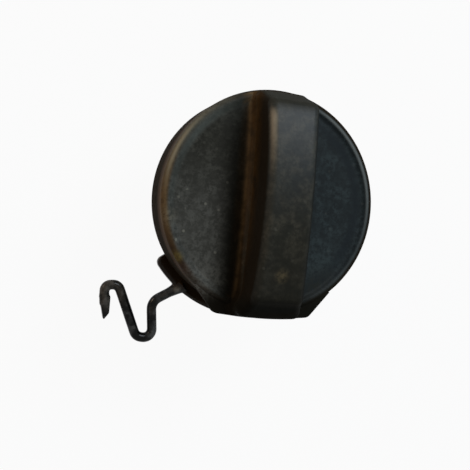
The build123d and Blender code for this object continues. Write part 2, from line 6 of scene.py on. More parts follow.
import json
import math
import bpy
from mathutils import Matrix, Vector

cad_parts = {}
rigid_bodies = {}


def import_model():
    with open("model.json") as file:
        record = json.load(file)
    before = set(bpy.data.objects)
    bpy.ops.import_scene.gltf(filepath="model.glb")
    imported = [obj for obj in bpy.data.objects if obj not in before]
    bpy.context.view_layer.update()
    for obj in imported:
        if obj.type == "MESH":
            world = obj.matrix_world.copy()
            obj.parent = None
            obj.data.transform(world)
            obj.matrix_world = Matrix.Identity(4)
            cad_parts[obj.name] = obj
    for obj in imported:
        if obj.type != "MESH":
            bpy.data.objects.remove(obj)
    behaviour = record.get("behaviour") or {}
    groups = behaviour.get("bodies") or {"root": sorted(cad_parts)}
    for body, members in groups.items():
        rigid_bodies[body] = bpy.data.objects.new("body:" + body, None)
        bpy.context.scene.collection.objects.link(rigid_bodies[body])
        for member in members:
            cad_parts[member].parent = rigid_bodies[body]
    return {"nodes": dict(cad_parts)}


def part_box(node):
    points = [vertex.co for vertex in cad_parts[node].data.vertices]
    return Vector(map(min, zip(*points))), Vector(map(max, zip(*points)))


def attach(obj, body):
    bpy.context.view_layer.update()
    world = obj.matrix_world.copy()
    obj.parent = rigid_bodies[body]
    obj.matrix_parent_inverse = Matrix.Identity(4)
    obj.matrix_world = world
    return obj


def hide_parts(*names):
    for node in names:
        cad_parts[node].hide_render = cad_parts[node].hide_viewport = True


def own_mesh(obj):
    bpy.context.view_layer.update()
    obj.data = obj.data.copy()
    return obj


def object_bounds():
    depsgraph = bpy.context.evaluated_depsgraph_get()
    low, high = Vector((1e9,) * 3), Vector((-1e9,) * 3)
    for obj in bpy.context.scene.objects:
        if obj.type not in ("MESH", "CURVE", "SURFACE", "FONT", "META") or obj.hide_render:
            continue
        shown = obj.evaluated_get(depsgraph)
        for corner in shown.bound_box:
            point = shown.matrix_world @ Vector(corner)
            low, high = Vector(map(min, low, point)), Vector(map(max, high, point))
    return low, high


bl_info = {
    "name": "Fuel filler cap looks",
    "version": (1, 0, 0),
    "blender": (4, 5, 0),
    "location": "3D View > Sidebar > Filler cap",
    "description": "Finishes the packed fuel filler cap and sets up its studio",
    "category": "Object",
}

import bmesh
import bpy
from bpy.props import FloatProperty, FloatVectorProperty, IntProperty, PointerProperty
from mathutils import Matrix, Vector

for leftover in list(bpy.data.objects):
    bpy.data.objects.remove(leftover)

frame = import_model()
cad_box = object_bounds()

MM = 0.001
WHITE = (1, 1, 1, 1)
BLACK = (0, 0, 0, 1)

GRIP_HEIGHT = 19.4 * MM  # from the disc to the grip's crown
CROWN_REACH = 34 * MM  # from the grip's middle to where its top ends
CROWN_FALL = 3.8 * MM  # how far the crown has fallen there
WAIST_SPREAD = 0.1  # how much wider than at the waist the grip is there, as a share

WELD_REACH = 0.002 * MM  # corners nearer than this are one
SLIVER_AREA = 1e-14  # faces smaller than this, in square metres, have no area
FEWEST_FACES = 1000  # a soft moulding with fewer has failed
SENSOR_WIDTH = 36  # in mm, as Blender counts lenses
NEAR_CLIP = 10 * MM

# places that the finishes and pieces take from the frame
grip_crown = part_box("grip_cover")[1].z
disc_top = grip_crown - GRIP_HEIGHT
tether_low, tether_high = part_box("tether")


# ------------------------------------------------------------------ settings
def colour(name, description, default):
    """A colour setting, linear RGBA."""
    return FloatVectorProperty(name=name, description=description, subtype="COLOR", size=4, min=0, max=1,
                               default=(*default, 1))


def length(name, description, default):
    """A length setting in metres."""
    return FloatProperty(name=name, description=description, unit="LENGTH", min=0, default=default, precision=6)


def factor(name, description, default):
    """A setting from 0 to 1."""
    return FloatProperty(name=name, description=description, subtype="FACTOR", min=0, max=1, default=default)


def amount(name, description, default):
    """A setting from 0 up."""
    return FloatProperty(name=name, description=description, min=0, default=default)


def vector(name, description, subtype, default):
    """A place or a direction."""
    return FloatVectorProperty(name=name, description=description, subtype=subtype, default=default)


class CapFinishes(bpy.types.PropertyGroup):
    """Colours and surface detail of the cap's pieces."""

    cover: colour("Cover", "Moulded black plastic of the cover", (0.0085, 0.0085, 0.0058))
    # painted cool light: the plastic tinted cooler where the cool lamp falls, on the right and at the heel
    cover_cool_lit: colour("Cover, cool side", "The same plastic, cleaner and cooler", (0.0075, 0.0105, 0.0115))
    bloom: colour("Bloom", "Greyed skin of the plastic", (0.0270, 0.0272, 0.0215))
    # painted cool light on the plastic's grey bloom, on the right and at the heel
    bloom_cool_lit: colour("Bloom, cool side", "Greyed skin of the cleaner side", (0.0200, 0.0275, 0.0290))
    dust_film: colour("Dust film", "Dust film on the disc", (0.064, 0.065, 0.059))
    grip_film: colour("Grip film", "Brownish patches on the grip's top", (0.038, 0.034, 0.024))
    # brown film with painted warm light from the left on the rim's shoulder
    rim_film_and_warm_light: colour("Rim film", "Brown film on the rim's shoulder", (0.095, 0.062, 0.030))
    # painted pale reflection on the rim's upper-left shoulder
    rim_reflection: colour("Rim bloom", "Pale yellowish film on the rim's shoulder", (0.070, 0.070, 0.057))
    rim_red: colour("Rim red", "Dark reddish film on the rim by the tether", (0.022, 0.012, 0.007))
    # painted highlight arc on the rim's shoulder
    rim_highlight_arc: colour("Rim gleam", "Rubbed arc on the rim's shoulder", (0.170, 0.150, 0.105))
    # painted shade on the disc beside the grip's wall, where the grip blocks the light
    nook_shade: colour("Nook film", "Dark film on the disc beside the grip", (0.0022, 0.0022, 0.0013))
    # painted shade on the disc inside the lip's right side
    lip_shade: colour("Lip shade", "Dark film on the disc inside the lip's right side", (0.0055, 0.0085, 0.0105))
    # painted highlight on the lip's left inner slope
    lip_highlight: colour("Lip bloom", "Pale bloom on the lip's left side", (0.088, 0.095, 0.085))
    # painted highlight line along the rim's right crest
    rim_highlight_line: colour("Rim line", "Rubbed line on the rim's right side", (0.110, 0.120, 0.118))
    # brown film with painted warm light high on the skirt's left side
    skirt_film_and_warm_light: colour("Skirt film", "Brown film high on the skirt", (0.036, 0.016, 0.003))
    skirt_dark: colour("Skirt", "Dark film on the skirt", (0.0105, 0.0075, 0.0042))
    side_film: colour("Side film", "Dark brown film on the grip's sides", (0.0085, 0.0055, 0.0028))
    # brown film with painted warm glow low on the grip's sides
    side_rust_and_warm_glow: colour("Side rust", "Rust-brown film low on the grip's side", (0.030, 0.016, 0.005))
    # painted shade on the grip's far edge and side, which face away from the light
    far_shade: colour("Far side", "Dark film on the grip's far edge and side", (0.0060, 0.0066, 0.0062))
    heel_film: colour("Heel film", "Dark film on the grip's heel", (0.0215, 0.0208, 0.0165))
    # painted shade on the grip's toe and on its top towards the toe
    toe_shade: colour("Toe film", "Dark film on the grip's toe", (0.0045, 0.0042, 0.0028))
    # painted warm highlight along the grip's left top edge
    edge_highlight: colour("Worn edge", "Rubbed brown edge of the grip", (0.230, 0.190, 0.135))
    red_mark: colour("Red mark", "Reddish dirt on the rim by the tether", (0.075, 0.038, 0.025))
    yellow_mark: colour("Yellow mark", "Yellowish dirt on the rim by the tether", (0.150, 0.120, 0.040))
    pale_mark: colour("Pale mark", "Pale dust by the rim", (0.085, 0.085, 0.076))
    teal_mark: colour("Teal mark", "Cool bloom on the disc beside the toe", (0.034, 0.046, 0.047))
    # painted warm glint on the grip's top
    warm_glint: colour("Warm mark", "Brown mark on the grip's top", (0.110, 0.085, 0.045))
    dust: colour("Dust", "Dust grains on the cover and the tether", (0.150, 0.148, 0.125))
    # brown dirt with painted warm light in the cove on the grip's left side
    dirt: colour("Dirt", "Brown dirt in the cove of the grip", (0.064, 0.037, 0.015))
    # painted highlight along the foot of the grip's left cove
    cove_highlight_line: colour("Dirt line", "Pale brown dirt where the cove meets the disc", (0.110, 0.075, 0.040))
    cover_roughness: factor("Cover roughness", "Roughness of the textured plastic", 0.60)
    cover_gloss: factor("Cover gloss", "Specular level of the textured plastic", 0.035)
    polish_roughness: factor("Polish roughness", "Roughness where hands polished the grip", 0.42)
    grain_size: length("Grain size", "Size of the mould texture's grains", 0.75 * MM)
    grain_depth: length("Grain depth", "Depth of the mould texture", 0.030 * MM)
    tether: colour("Tether", "Glossy black plastic of the tether", (0.0016, 0.0018, 0.0016))
    tether_gloss: factor("Tether gloss", "Specular level of the tether", 0.06)
    tether_polish: factor("Tether polish", "Roughness of the tether's glossy skin", 0.10)
    # painted pale highlights along the tether's upper side
    rod_highlight: colour("Scuff", "Pale scuffs on the tether", (0.160, 0.168, 0.165))
    # painted bright glint at the root of the tether's rod
    root_glint: colour("Bare", "Rubbed bright root of the tether's rod", (0.50, 0.51, 0.50))
    lug_film: colour("Lug film", "Brown film on the tether's lug", (0.016, 0.010, 0.005))
    worn: colour("Worn hook", "Scuffed grey-brown plastic on the hook's end", (0.058, 0.050, 0.041))
    nylon: colour("Inner nylon", "Black nylon of the closure and retainer", (0.017, 0.017, 0.0185))
    acetal: colour("Drive ring", "Natural acetal of the drive ring", (0.60, 0.585, 0.53))
    rubber: colour("Rubber", "Black seal rubber", (0.013, 0.013, 0.0138))
    slip: colour("Slip washer", "White low-friction plastic", (0.66, 0.66, 0.63))
    valve: colour("Valve plastic", "Grey acetal of the valve insert", (0.105, 0.110, 0.118))
    steel: colour("Spring steel", "Bright spring wire", (0.56, 0.56, 0.54))
    zinc: colour("Zinc plate", "Zinc-plated pressed steel", (0.55, 0.53, 0.46))


class CapSprings(bpy.types.PropertyGroup):
    """How the two valve springs are wound."""

    turns: FloatProperty(name="Turns", description="Turns of each spring, closed at both ends", min=3, max=8,
                         default=5.0)
    pressure_wire: length("Pressure spring wire", "Wire thickness of the pressure spring", 1.2 * MM)
    vacuum_wire: length("Vacuum spring wire", "Wire thickness of the vacuum spring", 0.5 * MM)
    steps: IntProperty(name="Steps per turn", description="Smoothness along the wire", min=12, max=96, default=48)
    sides: IntProperty(name="Wire sides", description="Smoothness round the wire", min=6, max=24, default=14)


class CapTether(bpy.types.PropertyGroup):
    """How soft the tether's moulded shape is."""

    voxel: length("Voxel", "Fineness of the soft moulding", 0.34 * MM)
    soften: IntProperty(name="Soften", description="Smoothing steps on its corners", min=0, max=30, default=7)


class CapStage(bpy.types.PropertyGroup):
    """Camera, lamps and floor."""

    camera_place: vector("Camera place", "Where the camera stands", "TRANSLATION", (-0.10156, -0.01112, 0.29377))
    camera_right: vector("Camera right", "Direction of the picture's right", "DIRECTION",
                         (0.94503913, 0.08518442, 0.3156654))
    camera_up: vector("Camera up", "Direction of the picture's top", "DIRECTION",
                      (-0.07909421, 0.99635084, -0.0320797))
    lens: FloatProperty(name="Lens", description="Focal length on a 36 mm sensor, in mm", min=20, max=200,
                        default=61.28)
    key_power: amount("Key lamp", "Power of the cool lamp overhead, in watts", 6.5)
    key_place: vector("Key lamp place", "Where the cool lamp hangs", "TRANSLATION", (0.33, 0.52, 0.70))
    warm_power: amount("Warm lamp", "Power of the warm lamp low on the left, in watts", 1.4)
    warm_place: vector("Warm lamp place", "Where the warm lamp stands", "TRANSLATION", (-0.60, 0.34, 0.24))
    world_level: amount("Room light", "Strength of the light from all round", 0.80)
    floor_size: length("Floor", "Side of the floor", 3.0)
    floor: colour("Floor colour", "Pale matt floor", (0.45, 0.45, 0.45))
    floor_white: factor("Floor white", "How much of the floor's shade is lifted to white", 0.94)


# ------------------------------------------------------------------ shader maths
class Wire:
    """A socket in a node tree. Python's operators on it add Math nodes."""

    def __init__(self, nodes, socket):
        self.nodes = nodes
        self.socket = socket

    def maths(self, operation, *values):
        """A Math node on these values."""
        return self.nodes.node("ShaderNodeMath", {"operation": operation}, dict(enumerate(values)))

    def __add__(self, other):
        return self.maths("ADD", self, other)

    def __sub__(self, other):
        return self.maths("SUBTRACT", self, other)

    def __rsub__(self, other):
        return self.maths("SUBTRACT", other, self)

    def __mul__(self, other):
        return self.maths("MULTIPLY", self, other)

    def __pow__(self, other):
        return self.maths("POWER", self, other)

    __radd__ = __add__

    def size(self):
        """Its distance from zero."""
        return self.maths("ABSOLUTE", self)

    def most(self, other):
        """The larger of the two."""
        return self.maths("MAXIMUM", self, other)

    def rise(self, start, end):
        """0 up to start, 1 from end, smooth between them."""
        return self.nodes.node("ShaderNodeMapRange", {"interpolation_type": "SMOOTHSTEP"},
                                {"Value": self, "From Min": start, "From Max": end})

    def lifted(self, low):
        """The same, but going from low to 1 and not from 0 to 1."""
        return self * (1 - low) + low

    def drift(self, spread):
        """A noise turned into a small change either way."""
        return (self - 0.5) * spread

    def band(self, middle, half_width):
        """1 at the middle, falling smoothly to 0 at half a width from it."""
        return 1 - (self - middle).size().rise(0, half_width)


class Nodes:
    """A shader or geometry node tree while it is put together."""

    def __init__(self, tree):
        self.tree = tree
        self.tree.nodes.clear()

    def node(self, kind, settings, inputs, output=0):
        """Add a node, set it, then give its sockets values or links. Hands back one of its outputs."""
        made = self.tree.nodes.new(kind)
        for name, value in settings.items():
            setattr(made, name, value)
        for name, value in inputs.items():
            if isinstance(value, Wire):
                self.tree.links.new(value.socket, made.inputs[name])
            else:
                made.inputs[name].default_value = value
        return Wire(self, made.outputs[output]) if made.outputs else None

    def parts(self, vector):
        """A vector's X, Y and Z."""
        first = self.node("ShaderNodeSeparateXYZ", {}, {0: vector})
        return [Wire(self, socket) for socket in first.socket.node.outputs]

    def mix(self, mask, first, second):
        """The second colour over the first where the mask is 1."""
        return self.node("ShaderNodeMix", {"data_type": "RGBA"}, {0: mask, 6: first, 7: second}, 2)


class Finish(Nodes):
    """A material while it is put together."""

    def __init__(self, name):
        self.material = bpy.data.materials.new(name)
        self.material.use_nodes = True
        super().__init__(self.material.node_tree)
        self.place = self.node("ShaderNodeTexCoord", {}, {}, "Object")
        self.x, self.y, self.z = self.parts(self.place)
        self.radius = (self.x * self.x + self.y * self.y) ** 0.5
        self.base = BLACK

    def film(self, mask, colour, share=1.0):
        """Lay a share of a colour over the base colour where the mask is 1."""
        self.base = self.mix(mask if share == 1.0 else mask * share, self.base, colour)

    def noise(self, size, detail=3.0, roughness=0.6, stretch=(1, 1, 1)):
        """Soft noise from 0 to 1 with features of that size."""
        vector = self.node("ShaderNodeVectorMath", {"operation": "MULTIPLY"}, {0: self.place, 1: stretch})
        return self.node("ShaderNodeTexNoise", {}, {"Vector": vector, "Scale": 1 / size, "Detail": detail,
                                                    "Roughness": roughness})

    def specks(self, spacing, share, reach):
        """Small round specks: a share of the cells, each reaching part of the way to its neighbours."""
        cells = {"Vector": self.place, "Scale": 1 / spacing}
        distance = self.node("ShaderNodeTexVoronoi", {}, cells, "Distance")
        cell = self.node("ShaderNodeTexVoronoi", {}, cells, "Color")
        chance = self.node("ShaderNodeSeparateColor", {}, {0: cell}, "Red")
        return chance.rise(1 - share, 1 - share + 0.02) * (1 - distance.rise(reach * 0.4, reach))

    def spot(self, centre, reach):
        """1 at a point, falling to 0 at that reach."""
        distance = self.node("ShaderNodeVectorMath", {"operation": "DISTANCE"}, {0: self.place, 1: centre}, "Value")
        return 1 - distance.rise(0, reach)

    def bump(self, height, depth, under=None):
        """A bumped normal from a height from 0 to 1."""
        inputs = {"Strength": 1.0, "Distance": depth, "Height": height}
        if under:
            inputs["Normal"] = under
        return self.node("ShaderNodeBump", {}, inputs)

    def waves(self, along, pitch):
        """Even ridges from 0 to 1 along a coordinate."""
        phase = along * (2 * math.pi / pitch)
        return phase.maths("SINE", phase) * 0.5 + 0.5

    def surface(self, **inputs):
        """The shader in its base colour and the output, with each _ in a socket's name read as a space."""
        sockets = {name.replace("_", " "): value for name, value in inputs.items()} | {"Base Color": self.base}
        self.node("ShaderNodeOutputMaterial", {}, {"Surface": self.node("ShaderNodeBsdfPrincipled", {}, sockets)})
        return self.material


# ------------------------------------------------------------------ finishes
class CoverMasks:
    """Where a point is on the cover, as masks from 0 to 1, and the noises that its films share."""

    def __init__(self, f):
        self.fine = f.noise(1.5 * MM, detail=2.5, roughness=0.65)
        self.patches = f.noise(4.5 * MM)
        self.mottle = self.fine.rise(0.34, 0.66) * self.patches.rise(0.36, 0.64).lifted(0.25)

        # the grip's crowned top is highest in the middle and narrowest at its waist
        below_top = grip_crown - f.z - f.y * f.y * (CROWN_FALL / CROWN_REACH ** 2)
        self.across = f.x - f.x * f.y * f.y * (WAIST_SPREAD / CROWN_REACH ** 2)
        self.height = f.z - disc_top
        self.raised = self.height.rise(2.2 * MM, 4 * MM)
        self.on_top = 1 - below_top.rise(0.9 * MM, 3.2 * MM)
        self.wall = f.x.size().rise(7.4 * MM, 9.0 * MM) * self.raised * (1 - self.on_top)
        self.far_edge = self.across.rise(6.7 * MM, 8.1 * MM) * self.raised
        self.heel = f.y.rise(29.5 * MM, 34.5 * MM) * self.raised
        self.toe = 1 - f.y.rise(-37 * MM, -30 * MM)

        # the disc beside the grip, and the rim's outer side
        beside = f.x.rise(-21 * MM, -12.5 * MM) * (1 - f.x.rise(-10 * MM, -9 * MM)) * (1 - self.raised)
        self.nook = beside * (1 - f.y.rise(-10 * MM, 24 * MM)).lifted(0.55)
        self.outer = f.radius.rise(37.5 * MM, 38.9 * MM)
        self.upper = self.height.rise(-9 * MM, -4 * MM)

        # which way along the cover
        self.leftward = 1 - f.x.rise(-30 * MM, -6 * MM)
        self.rightward = f.x.rise(6 * MM, 22 * MM)
        self.heelward = f.y.rise(-16 * MM, 26 * MM)
        self.toeward_top = self.on_top * (1 - self.heelward)


def cover_bloom(f, at, look):
    """Grey bloom in small and large patches, with painted cool light on the right and at the heel, browner on the
    handled top and with painted shade on the top towards the toe.
    """
    # painted light: cool on the right and at the heel, warmer olive on the left and on the top towards the toe
    olive = (1 - f.x.rise(-24 * MM, 12 * MM)).most(at.toeward_top)
    dark = f.mix(olive, look.cover_cool_lit, look.cover)
    bloom = f.mix(olive, look.bloom_cool_lit, look.bloom)
    f.base = f.mix(at.mottle * (1 - at.toeward_top * 0.5), dark, bloom)
    handled = at.on_top * at.patches.rise(0.34, 0.72) * at.fine.rise(0.3, 0.7).lifted(0.35)
    f.film(handled, look.grip_film, share=0.75)
    # painted shade on the grip's top, darker towards the toe
    f.film(at.on_top * (1 - f.y.rise(-30 * MM, -6 * MM)), look.toe_shade, share=0.45)


def disc_dust(f, at, look):
    """Dust on the disc by the tether, and painted shade on the disc beside the grip."""
    dusty = f.spot((-29 * MM, -13 * MM, disc_top), 36 * MM)
    f.film(dusty * at.mottle.lifted(0.40), look.dust_film)
    f.film(f.specks(2.4 * MM, share=0.16, reach=0.30) * (dusty + 0.12), look.dust, share=0.6)
    # painted shade on the disc beside the grip
    f.film(at.nook, look.nook_shade, share=0.9)


def rim_films(f, at, look):
    """Brown film and painted warm light on the rim's left side, with a paler painted reflection at the top and reddish
    film at the bottom; painted highlights on the left shoulder, the lip's left side and the rim's right side; painted
    shade inside the lip's right side.
    """
    # brown film with painted warm light on the rim's left side only, turning into a painted pale reflection towards
    # the top
    brown = f.mix(f.y.rise(2 * MM, 22 * MM), look.rim_film_and_warm_light, look.rim_reflection)
    brown = f.mix(f.y.rise(-25 * MM, -7 * MM), look.rim_red, brown)
    brown = f.mix(at.height.rise(-4.5 * MM, -0.8 * MM), look.skirt_film_and_warm_light, brown)
    filmed = at.leftward * at.upper * at.fine.rise(0.25, 0.60).lifted(0.55)
    f.film(at.outer, f.mix(filmed, look.skirt_dark, brown))

    # painted highlight arc along the rim's upper-left shoulder
    shoulder = f.radius.band(39.3 * MM, 1.0 * MM) * at.height.rise(-1.8 * MM, -0.6 * MM)
    f.film(shoulder * f.y.band(15 * MM, 18 * MM) * at.leftward, look.rim_highlight_arc)
    # painted highlight on the lip's left side, strongest towards the top
    lip = f.radius.band(36.6 * MM, 2.2 * MM) * f.y.rise(-14 * MM, 6 * MM) * at.leftward
    f.film(lip * f.y.rise(6 * MM, 26 * MM).lifted(0.3) * at.fine.lifted(0.6), look.lip_highlight)
    # painted shade inside the lip's right side
    f.film(f.radius.band(33.2 * MM, 3.2 * MM) * at.rightward, look.lip_shade, share=0.8)
    # painted highlight line on the rim's right side
    line = f.radius.band(37.6 * MM, 0.9 * MM) * at.rightward
    f.film(line * f.y.rise(-16 * MM, 16 * MM).lifted(0.2), look.rim_highlight_line)


def grip_films(f, at, look):
    """Dark brown film on the grip's walls, brown film and painted warm glow low on them, brown dirt with painted warm
    light and a painted highlight line in the left cove at their foot, painted shade on the far edge and the toe, a
    dark heel and a painted highlight on one edge.
    """
    heelward = f.y.rise(-30 * MM, 4 * MM)
    # brown film with painted warm glow low on the walls, towards the heel
    warm_foot = (1 - at.height.rise(4 * MM, 11 * MM)) * heelward * at.patches.rise(0.25, 0.6)
    f.film(at.wall, f.mix(warm_foot, look.side_film, look.side_rust_and_warm_glow), share=0.9)
    # painted shade on the far edge and side
    f.film(at.far_edge, look.far_shade, share=0.85)

    # brown dirt with painted warm light in the left cove only, stronger towards the heel
    cove = at.height.rise(0.2 * MM, 1.2 * MM) * (1 - at.height.rise(2.2 * MM, 6 * MM)) * f.x.band(-10.8 * MM, 4 * MM)
    f.film(cove * heelward.lifted(0.25) * at.patches.rise(0.3, 0.6).lifted(0.45), look.dirt)
    # painted highlight line at the left cove's foot
    foot = at.height.band(0.5 * MM, 0.65 * MM) * f.x.band(-11.4 * MM, 3.4 * MM)
    f.film(foot * heelward.lifted(0.4) * at.patches.rise(0.35, 0.6).lifted(0.5), look.cove_highlight_line)

    f.film(at.heel * (1 - at.wall), look.heel_film, share=0.85)
    # painted warm highlight along the left top edge, brightest towards the heel
    edge = at.across.band(-7.3 * MM, 1.6 * MM) * at.on_top * (1 - f.y.rise(28 * MM, 32 * MM))
    edge = edge * f.y.rise(6 * MM, 31 * MM).lifted(0.03) * f.y.rise(-28 * MM, -8 * MM)
    f.film(edge * at.fine.lifted(0.55), look.edge_highlight)
    # painted shade on the toe's end
    f.film(at.toe, look.toe_shade, share=0.9)


# each mark's place, reach, share and colour
COVER_MARKS = (
    ((-31.5 * MM, -27.5 * MM, disc_top), 6 * MM, 0.8, "red_mark"),
    ((-33.2 * MM, -22.0 * MM, disc_top), 3.6 * MM, 0.9, "yellow_mark"),
    # painted highlight on the rim's left side
    ((-37.6 * MM, -8.0 * MM, disc_top), 5 * MM, 0.4, "rim_highlight_arc"),
    ((-23.5 * MM, -28.0 * MM, disc_top), 11 * MM, 0.9, "pale_mark"),
    ((17.5 * MM, -20.0 * MM, disc_top), 15 * MM, 0.5, "teal_mark"),
    ((21.0 * MM, -31.0 * MM, disc_top), 14 * MM, 0.8, "cover"),
    # painted warm glint on the crown
    ((-0.6 * MM, -25.0 * MM, grip_crown - 2 * MM), 3.4 * MM, 0.55, "warm_glint"),
)


def cover_finish(look):
    """Fine-grained black moulding, greyed and filmed over, with painted light and shade, polished by hands on its
    grip.
    """
    f = Finish("cover_plastic_finish")
    at = CoverMasks(f)
    for films in (cover_bloom, disc_dust, rim_films, grip_films):
        films(f, at, look)
    for place, reach, share, mark in COVER_MARKS:
        f.film(f.spot(place, reach) * at.fine.rise(0.20, 0.70), getattr(look, mark), share)

    matt = at.outer * (1 - at.leftward * at.upper)
    for part in (at.toe, at.wall, at.far_edge, at.heel, at.nook):
        matt = matt.most(part)
    clouds = f.noise(15 * MM, roughness=0.55)
    polish = (0.10 + at.on_top * at.heelward * 0.15 + clouds.drift(0.06)) * (1 - matt)
    grain = f.bump(f.noise(look.grain_size), look.grain_depth)
    return f.surface(Roughness=look.cover_roughness + at.fine.drift(0.2) + matt.most(at.outer) * 0.3,
                     Specular_IOR_Level=look.cover_gloss, Coat_Weight=polish, Coat_Roughness=look.polish_roughness,
                     Normal=f.bump(at.patches, 0.04 * MM, grain))


# each mark's place along the rod, reach and colour
TETHER_MARKS = (
    # painted highlights along the rod's upper side, and a painted glint at its root
    ((-31.0 * MM, -38.2 * MM, tether_high.z - 1 * MM), 5.5 * MM, "rod_highlight"),
    ((-36.7 * MM, -41.8 * MM, tether_high.z - 1 * MM), 4.5 * MM, "worn"),
    ((-34.5 * MM, -50.5 * MM, tether_high.z - 1 * MM), 4.0 * MM, "rod_highlight"),
    ((-26.8 * MM, -34.7 * MM, tether_high.z - 1 * MM), 2.2 * MM, "root_glint"),
)


def tether_finish(look):
    """Glossy black moulding, browned on the lug, with painted highlights along the rod's upper side and a painted
    glint at its root, grey-brown on the hook's end.
    """
    f = Finish("tether_plastic_finish")
    patches = f.noise(3.2 * MM)
    lug = 1 - f.radius.rise(43 * MM, 46 * MM)
    upper = f.z.rise(tether_high.z - 1.8 * MM, tether_high.z - 0.3 * MM)
    hook_end = (tether_low.x + 3 * MM, tether_low.y + 18 * MM, tether_high.z)
    worn = f.spot(hook_end, 9.5 * MM) * patches.rise(0.30, 0.62)

    f.base = look.tether
    f.film(lug, look.lug_film)
    # painted highlights on the rod's upper side
    f.film(upper * patches.rise(0.58, 0.70), look.rod_highlight, share=0.16)
    for place, reach, mark in TETHER_MARKS:
        f.film(f.spot(place, reach) * upper * patches.rise(0.30, 0.55), getattr(look, mark), share=0.5)
    f.film(worn, look.worn)
    f.film(f.specks(1.1 * MM, share=0.10, reach=0.25), look.dust, share=0.2)

    grain = f.bump(f.noise(0.8 * MM), 0.003 * MM)
    return f.surface(Roughness=0.20 + patches.drift(0.14) + worn * 0.40, Specular_IOR_Level=look.tether_gloss,
                     Coat_Weight=0.06 + patches.rise(0.48, 0.66) * 0.30 * (1 - lug), Coat_Roughness=look.tether_polish,
                     Normal=f.bump(patches, 0.07 * MM, grain))


def plain_finish(name, first, second, rough, grain_size, grain_depth):
    """A moulded or worn surface whose colour drifts a little and whose grain shows close up."""
    f = Finish(name)
    clouds = f.noise(7 * MM, detail=4.0)
    f.base = f.mix(clouds.rise(0.35, 0.70), first, second)
    return f.surface(Roughness=rough + clouds.drift(0.18), Normal=f.bump(f.noise(grain_size), grain_depth))


def shade(base, level, tint=(1, 1, 1)):
    """A colour made lighter or darker, and tinted."""
    return tuple(base[k] * level * tint[k] for k in range(3)) + (1,)


def inner_finish(look, name):
    """Black nylon with faint rings left by the tool."""
    f = Finish(name)
    clouds = f.noise(9 * MM, detail=4.0)
    f.base = f.mix(clouds.rise(0.38, 0.70), look.nylon, shade(look.nylon, 1.9, (1.05, 1.0, 0.92)))
    grain = f.bump(f.noise(0.5 * MM), 0.016 * MM)
    return f.surface(Roughness=0.46 + clouds.drift(0.2), Normal=f.bump(f.waves(f.z, 0.9 * MM), 0.008 * MM, grain))


def steel_finish(look):
    """Drawn spring wire with fine lines round it."""
    f = Finish("spring_steel_finish")
    clouds = f.noise(2.5 * MM, detail=4.0)
    lines = f.noise(0.3 * MM, detail=2.0, roughness=0.5, stretch=(1, 1, 6))
    f.base = f.mix(clouds.rise(0.45, 0.75), look.steel, shade(look.steel, 0.55, (1.05, 0.98, 0.85)))
    return f.surface(Roughness=0.26 + clouds.drift(0.2), Metallic=1.0, Normal=f.bump(lines, 0.006 * MM))


def zinc_finish(look):
    """Zinc plating with a yellowish passivation, drawn in rings by the press."""
    f = Finish("plate_zinc_finish")
    clouds = f.noise(3.5 * MM, detail=4.0, roughness=0.65)
    rings = f.waves(f.radius, 0.7 * MM)
    f.base = f.mix(clouds.rise(0.35, 0.65), look.zinc, shade(look.zinc, 0.8, (1.0, 0.95, 0.72)))
    return f.surface(Roughness=0.34 + clouds.drift(0.22), Metallic=1.0, Normal=f.bump(rings, 0.006 * MM))


def floor_finish(stage):
    """Pale matt floor, lifted to white in the picture but for the object's faint shadow."""
    f = Finish("floor_finish")
    fibres = f.noise(60 * MM, roughness=0.55).rise(0.3, 0.7)
    paper = f.node("ShaderNodeBsdfDiffuse", {}, {"Color": f.mix(fibres, stage.floor, shade(stage.floor, 1.04))})
    white = f.node("ShaderNodeEmission", {}, {"Color": WHITE, "Strength": 1.0})
    shown = f.node("ShaderNodeMixShader", {}, {0: seen(f) * stage.floor_white, 1: paper, 2: white})
    f.node("ShaderNodeOutputMaterial", {}, {"Surface": shown})
    return f.material


def seen(nodes):
    """1 where a background is seen: by the camera, in gloss and through clear pieces."""
    camera, gloss, clear = (nodes.node("ShaderNodeLightPath", {}, {}, name)
                            for name in ("Is Camera Ray", "Is Glossy Ray", "Is Transmission Ray"))
    return camera.most(gloss).most(clear)


# ------------------------------------------------------------------ pieces
def dress(material, *nodes):
    """Give CAD nodes a finish."""
    for name in nodes:
        frame["nodes"][name].data.materials.clear()
        frame["nodes"][name].data.materials.append(material)


def new_piece(name, mesh, material, body, smooth=True):
    """Put a finished mesh in the scene, riding on a body."""
    mesh.name = name
    piece = bpy.data.objects.new(name, mesh)
    bpy.context.scene.collection.objects.link(piece)
    mesh.materials.clear()
    mesh.materials.append(material)
    if smooth:
        mesh.shade_smooth()
    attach(piece, body)
    return piece


SPRING_INPUTS = {
    "Turns": ("NodeSocketFloat", 5.0), "Mean radius": ("NodeSocketFloat", 5 * MM),
    "Free length": ("NodeSocketFloat", 10 * MM), "Wire": ("NodeSocketFloat", 1 * MM),
    "Steps": ("NodeSocketInt", 240), "Sides": ("NodeSocketInt", 12), "Finish": ("NodeSocketMaterial", None),
}


